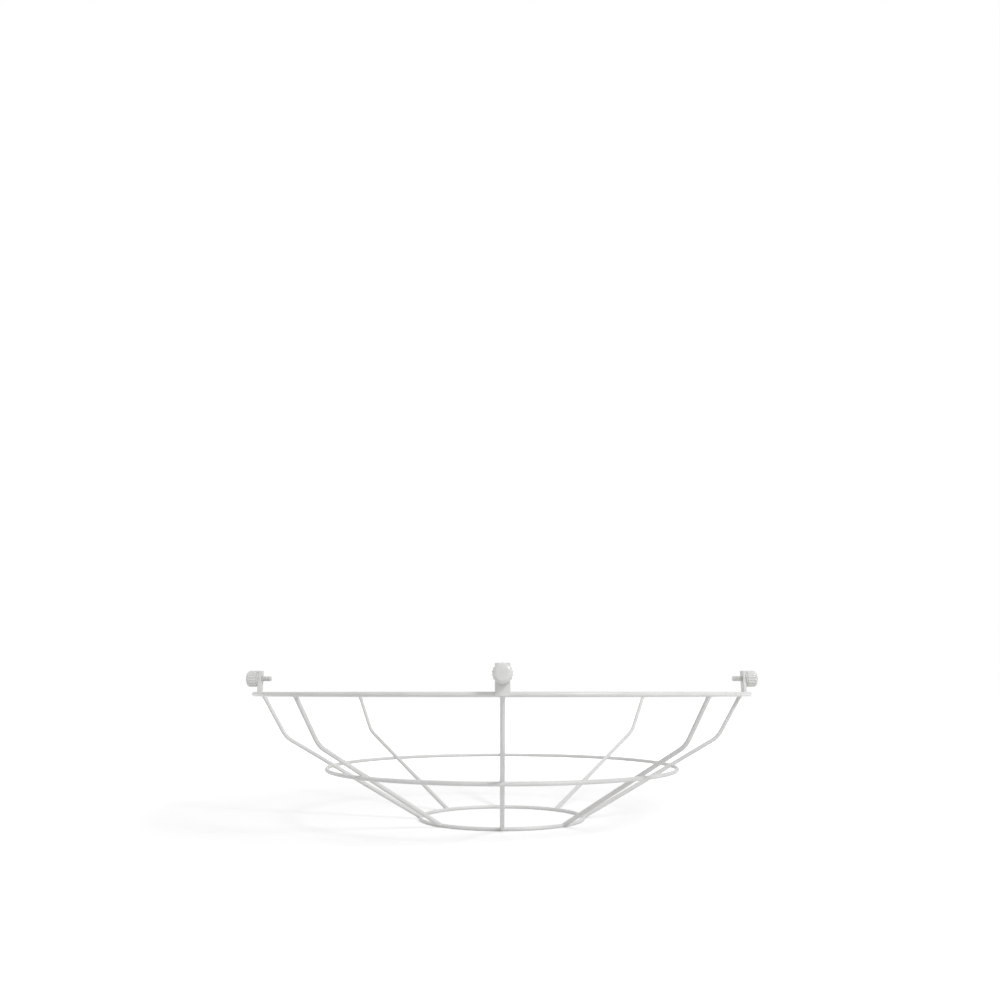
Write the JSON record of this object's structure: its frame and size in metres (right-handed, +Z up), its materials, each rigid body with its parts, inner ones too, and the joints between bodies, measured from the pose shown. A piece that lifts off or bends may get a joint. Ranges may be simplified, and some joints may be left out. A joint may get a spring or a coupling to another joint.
{
  "type": "bulb cage guard",
  "caption": "White wire bulb guard: ribs with one knee join round hoops into a shallow basket, and tabs with thumb screws clamp it under a lampshade's rim.",
  "frame": {"origin": "centre of the bottom ring, on the plane that the guard stands on", "axes": "+Z up along the guard's axis, from the bottom ring to the open rim; -Y towards the first clamp"},
  "size_m": [0.3866, 0.3866, 0.1068],
  "materials": {
    "white_powder_coat": "satin white powder coat on steel wire and strip",
    "white_coated_hardware": "smooth white coat on turned steel, glossier than the wire"
  },
  "bodies": {
    "guard": {"top_ring": "white_powder_coat", "middle_ring": "white_powder_coat", "bottom_ring": "white_powder_coat", "rib_1": "white_powder_coat", "rib_2": "white_powder_coat", "rib_3": "white_powder_coat", "rib_4": "white_powder_coat", "rib_5": "white_powder_coat", "rib_6": "white_powder_coat", "rib_7": "white_powder_coat", "rib_8": "white_powder_coat", "clamp_tab_1": "white_powder_coat", "clamp_tab_2": "white_powder_coat", "clamp_tab_3": "white_powder_coat", "clamp_tab_4": "white_powder_coat"},
    "washer_1": {"washer_1": "white_coated_hardware"},
    "thumb_screw_1": {"thumb_screw_1": "white_coated_hardware"},
    "washer_2": {"washer_2": "white_coated_hardware"},
    "thumb_screw_2": {"thumb_screw_2": "white_coated_hardware"},
    "washer_3": {"washer_3": "white_coated_hardware"},
    "thumb_screw_3": {"thumb_screw_3": "white_coated_hardware"},
    "washer_4": {"washer_4": "white_coated_hardware"},
    "thumb_screw_4": {"thumb_screw_4": "white_coated_hardware"}
  },
  "joints": [
    {"name": "washer_1_travel", "type": "slide", "parent": "guard", "child": "washer_1", "axis": [0, -1, 0], "range_m": [0, 0.007]},
    {"name": "thumb_screw_1_turn", "type": "hinge", "parent": "washer_1", "child": "thumb_screw_1", "pos_m": [0, -0.1854, 0.10085], "axis": [0, -1, 0], "range_deg": [0, 3600]},
    {"name": "washer_2_travel", "type": "slide", "parent": "guard", "child": "washer_2", "axis": [1, 0, 0], "range_m": [0, 0.007]},
    {"name": "thumb_screw_2_turn", "type": "hinge", "parent": "washer_2", "child": "thumb_screw_2", "pos_m": [0.1854, 0, 0.10085], "axis": [1, 0, 0], "range_deg": [0, 3600]},
    {"name": "washer_3_travel", "type": "slide", "parent": "guard", "child": "washer_3", "axis": [0, 1, 0], "range_m": [0, 0.007]},
    {"name": "thumb_screw_3_turn", "type": "hinge", "parent": "washer_3", "child": "thumb_screw_3", "pos_m": [0, 0.1854, 0.10085], "axis": [0, 1, 0], "range_deg": [0, 3600]},
    {"name": "washer_4_travel", "type": "slide", "parent": "guard", "child": "washer_4", "axis": [-1, 0, 0], "range_m": [0, 0.007]},
    {"name": "thumb_screw_4_turn", "type": "hinge", "parent": "washer_4", "child": "thumb_screw_4", "pos_m": [-0.1854, 0, 0.10085], "axis": [-1, 0, 0], "range_deg": [0, 3600]}
  ],
  "couplings": [
    {"joint": "thumb_screw_1_turn", "follows": "washer_1_travel", "rad_per_m": 8975.9},
    {"joint": "thumb_screw_2_turn", "follows": "washer_2_travel", "rad_per_m": 8975.9},
    {"joint": "thumb_screw_3_turn", "follows": "washer_3_travel", "rad_per_m": 8975.9},
    {"joint": "thumb_screw_4_turn", "follows": "washer_4_travel", "rad_per_m": 8975.9}
  ]
}
